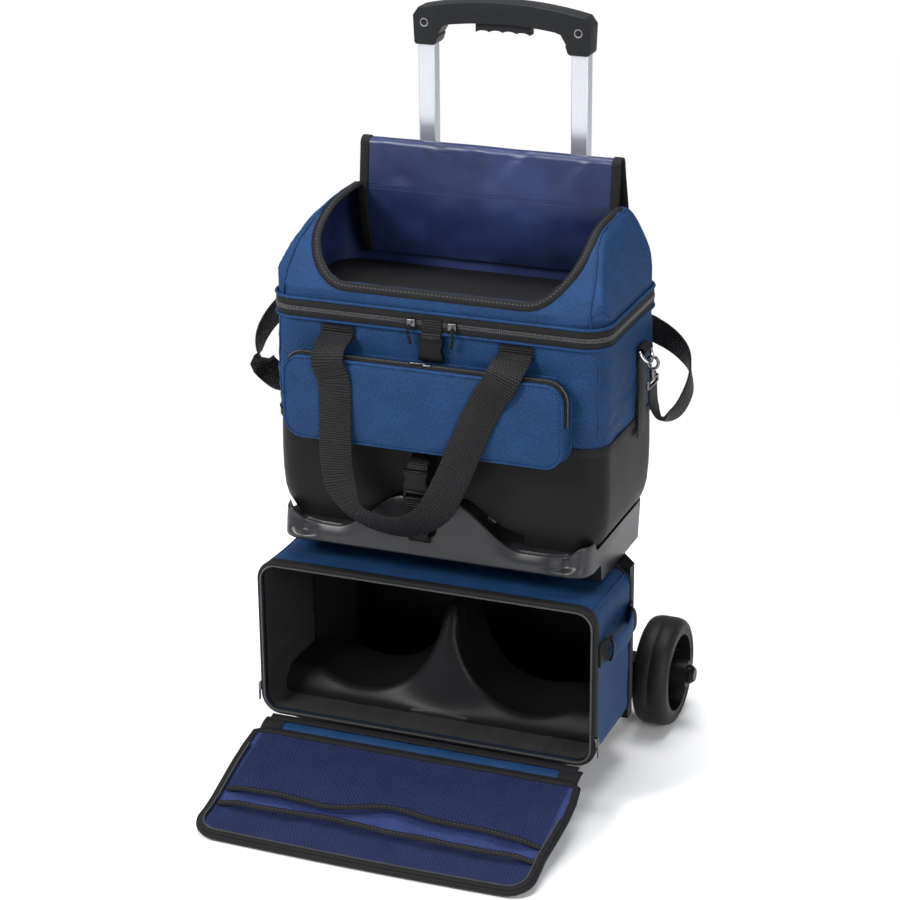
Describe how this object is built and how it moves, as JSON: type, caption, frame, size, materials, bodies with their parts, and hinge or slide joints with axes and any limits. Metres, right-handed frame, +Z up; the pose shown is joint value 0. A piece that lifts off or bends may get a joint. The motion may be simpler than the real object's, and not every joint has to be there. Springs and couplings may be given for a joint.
{
  "type": "bowling ball bag",
  "caption": "Wheeled bowling ball bag: a fabric ball bag with a drop-down door, a lift-off tote with a domed shoe section, and a telescoping pull handle.",
  "frame": {"origin": "middle of the front stand's flat underside, on the floor", "axes": "+X across the bag, +Y from the door to the handle, +Z up"},
  "size_m": [0.5782, 0.6108, 1],
  "materials": {
    "blue_fabric": "woven polyester, satin",
    "black_lining": "woven lining, matte",
    "black_webbing": "ribbed webbing",
    "black_binding": "binding and zip tape",
    "navy_coated": "coated nylon, soft gloss",
    "navy_mesh": "knitted mesh",
    "moulded_black": "fine grain",
    "satin_black": "satin",
    "grip_black": "satin",
    "buckle_black": "moulded, semi-gloss",
    "tyre_rubber": "matte rubber",
    "pad_rubber": "matte rubber",
    "tube_silver": "satin anodised",
    "steel": "plated",
    "ring_metal": "plated",
    "zip_metal": "black painted"
  },
  "bodies": {
    "trolley": {"lower_bag_fabric": "blue_fabric", "lower_bag_rim": "black_binding", "compartment_lining": "black_lining", "ball_cradle": "moulded_black", "rear_shell": "moulded_black", "handle_housing": "moulded_black", "base_plate": "moulded_black", "front_stand": "moulded_black", "stand_pad": "pad_rubber", "axle_carrier": "moulded_black", "axle": "steel", "axle_caps": "buckle_black", "top_tray": "satin_black", "tray_screws": "steel", "outer_tubes": "tube_silver", "tube_collars": "grip_black", "side_handle_left": "blue_fabric", "side_handle_right": "blue_fabric", "hold_down_strap": "black_webbing", "hold_down_tongue": "buckle_black"},
    "wheel_left": {"tyre_left": "tyre_rubber", "hub_left": "moulded_black", "bearings_left": "steel"},
    "wheel_right": {"tyre_right": "tyre_rubber", "hub_right": "moulded_black", "bearings_right": "steel"},
    "handle_middle": {"middle_tubes": "tube_silver", "middle_collars": "grip_black"},
    "handle_top": {"inner_tubes": "tube_silver", "grip": "grip_black", "grip_screws": "steel", "release_spring": "steel"},
    "release": {"release_bar": "grip_black"},
    "front_door": {"door_panel": "navy_coated", "door_binding": "black_binding", "door_mesh_pockets": "navy_mesh", "door_hinge_strip": "blue_fabric"},
    "door_slider_left": {"door_slider_left": "zip_metal"},
    "door_slider_right": {"door_slider_right": "zip_metal"},
    "tote": {"tote_base": "moulded_black", "tote_body": "blue_fabric", "seam_band": "black_webbing", "lower_zip_tape": "black_binding", "front_pocket": "blue_fabric", "side_tabs": "black_webbing", "d_rings": "ring_metal", "snap_hooks": "buckle_black", "shoulder_strap": "black_webbing", "hold_down_socket": "buckle_black"},
    "shoe_lid": {"shoe_section": "blue_fabric", "upper_zip_tape": "black_binding", "opening_binding": "black_binding"},
    "flap_near": {"flap_near": "navy_coated"},
    "flap_far": {"flap_far": "navy_coated"},
    "front_handle": {"front_handle": "black_webbing"},
    "rear_handle": {"rear_handle": "black_webbing"},
    "zip_slider_left": {"zip_slider_left": "zip_metal"},
    "zip_slider_right": {"zip_slider_right": "zip_metal"},
    "centre_buckle": {"centre_buckle": "buckle_black"},
    "pocket_slider": {"pocket_slider": "zip_metal"}
  },
  "joints": [
    {"name": "wheel_left_spin", "type": "hinge", "parent": "trolley", "child": "wheel_left", "pos_m": [-0.24, 0.246, 0.0762], "axis": [1, 0, 0], "continuous": true},
    {"name": "wheel_right_spin", "type": "hinge", "parent": "trolley", "child": "wheel_right", "pos_m": [0.24, 0.246, 0.0762], "axis": [1, 0, 0], "continuous": true},
    {"name": "handle_lower_slide", "type": "slide", "parent": "trolley", "child": "handle_middle", "axis": [0, 0, 1], "range_m": [-0.26, 0]},
    {"name": "handle_upper_slide", "type": "slide", "parent": "handle_middle", "child": "handle_top", "axis": [0, 0, 1], "range_m": [-0.232, 0]},
    {"name": "release_squeeze", "type": "slide", "parent": "handle_top", "child": "release", "axis": [0, 0, 1], "range_m": [0, 0.005], "stiffness_N_per_m": 600, "springref_m": -0.006, "deforming": ["release_spring"]},
    {"name": "door_hinge", "type": "hinge", "parent": "trolley", "child": "front_door", "pos_m": [0, -0.0595, 0.067], "axis": [1, 0, 0], "range_deg": [-104.5, 0]},
    {"name": "door_zip_left", "type": "slide", "parent": "trolley", "child": "door_slider_left", "axis": [0, 0, 1], "range_m": [0, 0.15]},
    {"name": "door_zip_right", "type": "slide", "parent": "trolley", "child": "door_slider_right", "axis": [0, 0, 1], "range_m": [0, 0.15]},
    {"name": "tote_lift", "type": "slide", "parent": "trolley", "child": "tote", "axis": [0, 0, 1], "range_m": [0, 0.12]},
    {"name": "lid_tilt", "type": "hinge", "parent": "tote", "child": "shoe_lid", "pos_m": [0, 0.2295, 0.637], "axis": [1, 0, 0], "range_deg": [-8, 0]},
    {"name": "flap_swing", "type": "hinge", "parent": "shoe_lid", "child": "flap_near", "pos_m": [0, 0.193, 0.753], "axis": [1, 0, 0], "range_deg": [0, 90]},
    {"name": "flap_fold", "type": "hinge", "parent": "flap_near", "child": "flap_far", "pos_m": [0, 0.20776, 0.80665], "axis": [1, 0, 0], "range_deg": [0, 199.6], "deforming": ["flap_far"]},
    {"name": "front_handle_swing", "type": "hinge", "parent": "tote", "child": "front_handle", "pos_m": [0, -0.007, 0.6095], "axis": [1, 0, 0], "range_deg": [-82, 0]},
    {"name": "rear_handle_swing", "type": "hinge", "parent": "tote", "child": "rear_handle", "pos_m": [0, 0.23, 0.6095], "axis": [1, 0, 0], "range_deg": [0, 2.5]},
    {"name": "main_zip_left", "type": "slide", "parent": "tote", "child": "zip_slider_left", "axis": [1, 0, 0], "range_m": [-0.17, 0]},
    {"name": "main_zip_right", "type": "slide", "parent": "tote", "child": "zip_slider_right", "axis": [1, 0, 0], "range_m": [0, 0.17]},
    {"name": "centre_buckle_swing", "type": "hinge", "parent": "tote", "child": "centre_buckle", "pos_m": [0, -0.0065, 0.6455], "axis": [1, 0, 0], "range_deg": [-95, 0]},
    {"name": "pocket_zip", "type": "slide", "parent": "tote", "child": "pocket_slider", "axis": [1, 0, 0], "range_m": [-0.085, 0.07]}
  ],
  "couplings": [
    {"joint": "handle_lower_slide", "follows": "handle_upper_slide", "ratio": 1.12},
    {"joint": "flap_fold", "follows": "flap_swing", "ratio": 2.2177}
  ]
}
